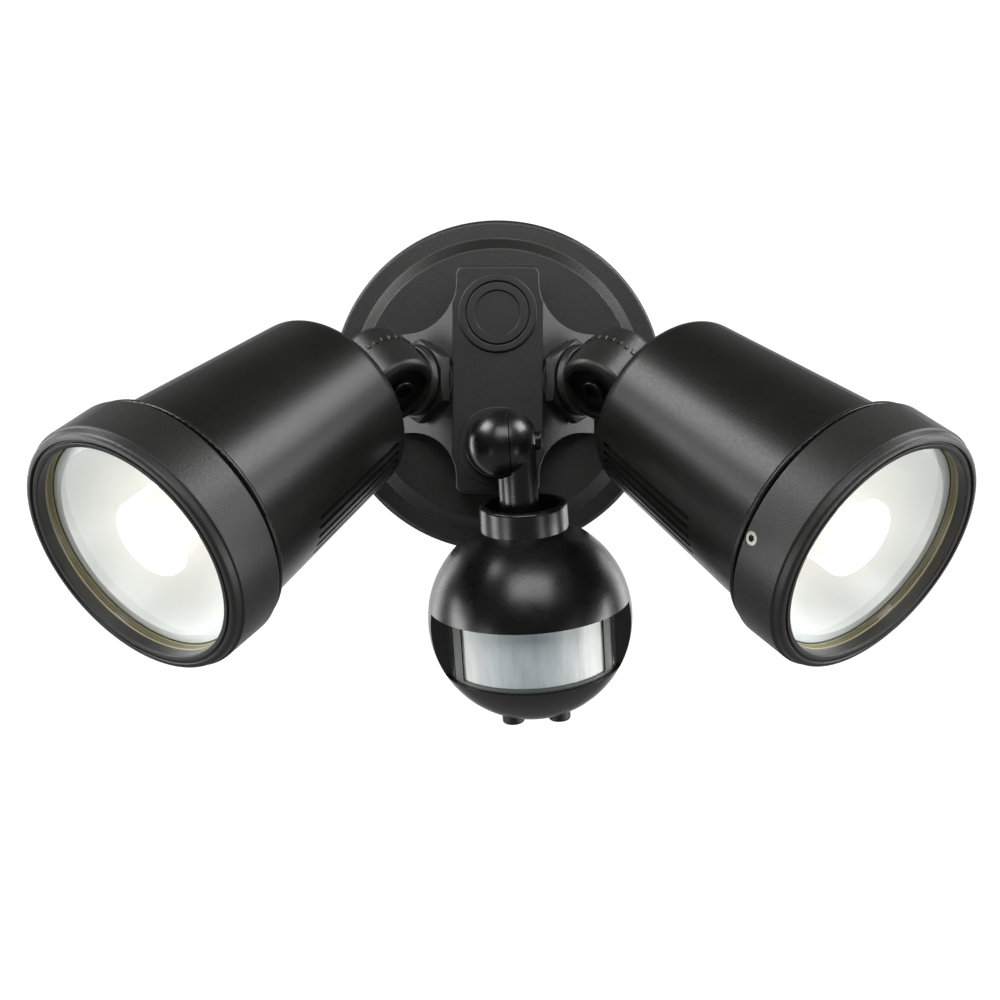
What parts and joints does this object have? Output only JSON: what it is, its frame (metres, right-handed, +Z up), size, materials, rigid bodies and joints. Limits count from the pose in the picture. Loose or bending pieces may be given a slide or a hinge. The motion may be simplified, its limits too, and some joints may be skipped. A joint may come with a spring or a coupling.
{
  "type": "motion sensor security light",
  "caption": "Wall-mounted twin spot security light: two tilting black lamp heads with clear round lenses and a ball-shaped motion sensor under a round plate.",
  "frame": {"origin": "centre of the back plate's wall face, the plane that lies on the wall", "axes": "+Y into the wall, +Z up the wall, +X to the right as seen from in front; the lamps stand out towards -Y"},
  "size_m": [0.279, 0.1438, 0.1775],
  "materials": {
    "cast_black": "satin",
    "rubber_black": "matte",
    "zinc_steel": "satin",
    "screw_steel": "satin",
    "plug_black": "satin",
    "terminal_white": "matte",
    "brass_screw": "satin",
    "gloss_black": "gloss",
    "black_screw": "satin",
    "fresnel_white": "satin",
    "lens_frame_grey": "satin",
    "circuit_board": "satin",
    "can_metal": "satin",
    "relay_case": "satin",
    "knob_black": "satin",
    "nut_black": "satin",
    "stainless_screw": "polished",
    "rubber_grey": "matte",
    "clear_glass": "gloss",
    "bright_reflector": "polished",
    "led_white": "matte",
    "cap_white": "satin",
    "raw_aluminium": "satin"
  },
  "bodies": {
    "root": {"back_plate": "cast_black", "earth_screw": "brass_screw", "entry_plug": "plug_black", "left_locknut": "nut_black", "left_stem_seal": "rubber_black", "right_locknut": "nut_black", "right_stem_seal": "rubber_black", "side_screws": "screw_steel", "terminal_block": "terminal_white", "terminal_screws": "screw_steel", "wall_bracket": "zinc_steel", "wall_gasket": "rubber_black"},
    "left_stem": {"left_pivot_screw": "screw_steel", "left_stem": "cast_black"},
    "left_head": {"left_bezel": "cast_black", "left_bezel_screw": "stainless_screw", "left_driver": "circuit_board", "left_glare_cap": "cap_white", "left_glass": "clear_glass", "left_glass_gasket": "rubber_grey", "left_heat_sink": "raw_aluminium", "left_housing": "cast_black", "left_knuckle": "cast_black", "left_led_board": "led_white", "left_reflector": "bright_reflector"},
    "right_stem": {"right_pivot_screw": "screw_steel", "right_stem": "cast_black"},
    "right_head": {"right_bezel": "cast_black", "right_bezel_screw": "stainless_screw", "right_driver": "circuit_board", "right_glare_cap": "cap_white", "right_glass": "clear_glass", "right_glass_gasket": "rubber_grey", "right_heat_sink": "raw_aluminium", "right_housing": "cast_black", "right_knuckle": "cast_black", "right_led_board": "led_white", "right_reflector": "bright_reflector"},
    "sensor_stem": {"sensor_stem": "gloss_black"},
    "sensor_arm": {"sensor_arm": "gloss_black", "sensor_clamp_screw": "black_screw"},
    "sensor_head": {"sensor_board": "circuit_board", "sensor_control_board": "circuit_board", "sensor_detector": "can_metal", "sensor_front_shell": "gloss_black", "sensor_lens": "fresnel_white", "sensor_lens_frame": "lens_frame_grey", "sensor_rear_shell": "gloss_black", "sensor_relay": "relay_case", "sensor_shell_screws": "screw_steel"},
    "time_knob": {"time_knob": "knob_black"},
    "lux_knob": {"lux_knob": "knob_black"}
  },
  "joints": [
    {"name": "left_lamp_swivel", "type": "hinge", "parent": "root", "child": "left_stem", "pos_m": [-0.025, -0.0225, 0], "axis": [-0.7071, -0.7071, 0], "range_deg": [-40, 40]},
    {"name": "left_lamp_tilt", "type": "hinge", "parent": "left_stem", "child": "left_head", "pos_m": [-0.0366, -0.0341, 0], "axis": [-0.5511, 0.5511, 0.6266], "range_deg": [-15, 45]},
    {"name": "right_lamp_swivel", "type": "hinge", "parent": "root", "child": "right_stem", "pos_m": [0.025, -0.0225, 0], "axis": [-0.7071, 0.7071, 0], "range_deg": [-40, 40]},
    {"name": "right_lamp_tilt", "type": "hinge", "parent": "right_stem", "child": "right_head", "pos_m": [0.0366, -0.0341, 0], "axis": [-0.5511, -0.5511, -0.6266], "range_deg": [-15, 45]},
    {"name": "sensor_swivel", "type": "hinge", "parent": "root", "child": "sensor_stem", "pos_m": [0, -0.032, -0.0228], "axis": [0, -1, 0], "range_deg": [-15, 10]},
    {"name": "sensor_tilt", "type": "hinge", "parent": "sensor_stem", "child": "sensor_arm", "pos_m": [0.0019, -0.056, -0.0228], "axis": [0.9978, 0, 0.0663], "range_deg": [-70, 2]},
    {"name": "sensor_pan", "type": "hinge", "parent": "sensor_arm", "child": "sensor_head", "pos_m": [0.01096, -0.04034, -0.08077], "axis": [-0.064, -0.2588, 0.9638], "range_deg": [-75, 75]},
    {"name": "time_knob_turn", "type": "hinge", "parent": "sensor_head", "child": "time_knob", "pos_m": [0.0033, -0.0471, -0.08309], "axis": [-0.064, -0.2588, 0.9638], "range_deg": [0, 270]},
    {"name": "lux_knob_turn", "type": "hinge", "parent": "sensor_head", "child": "lux_knob", "pos_m": [0.01886, -0.0471, -0.08206], "axis": [-0.064, -0.2588, 0.9638], "range_deg": [0, 270]}
  ]
}
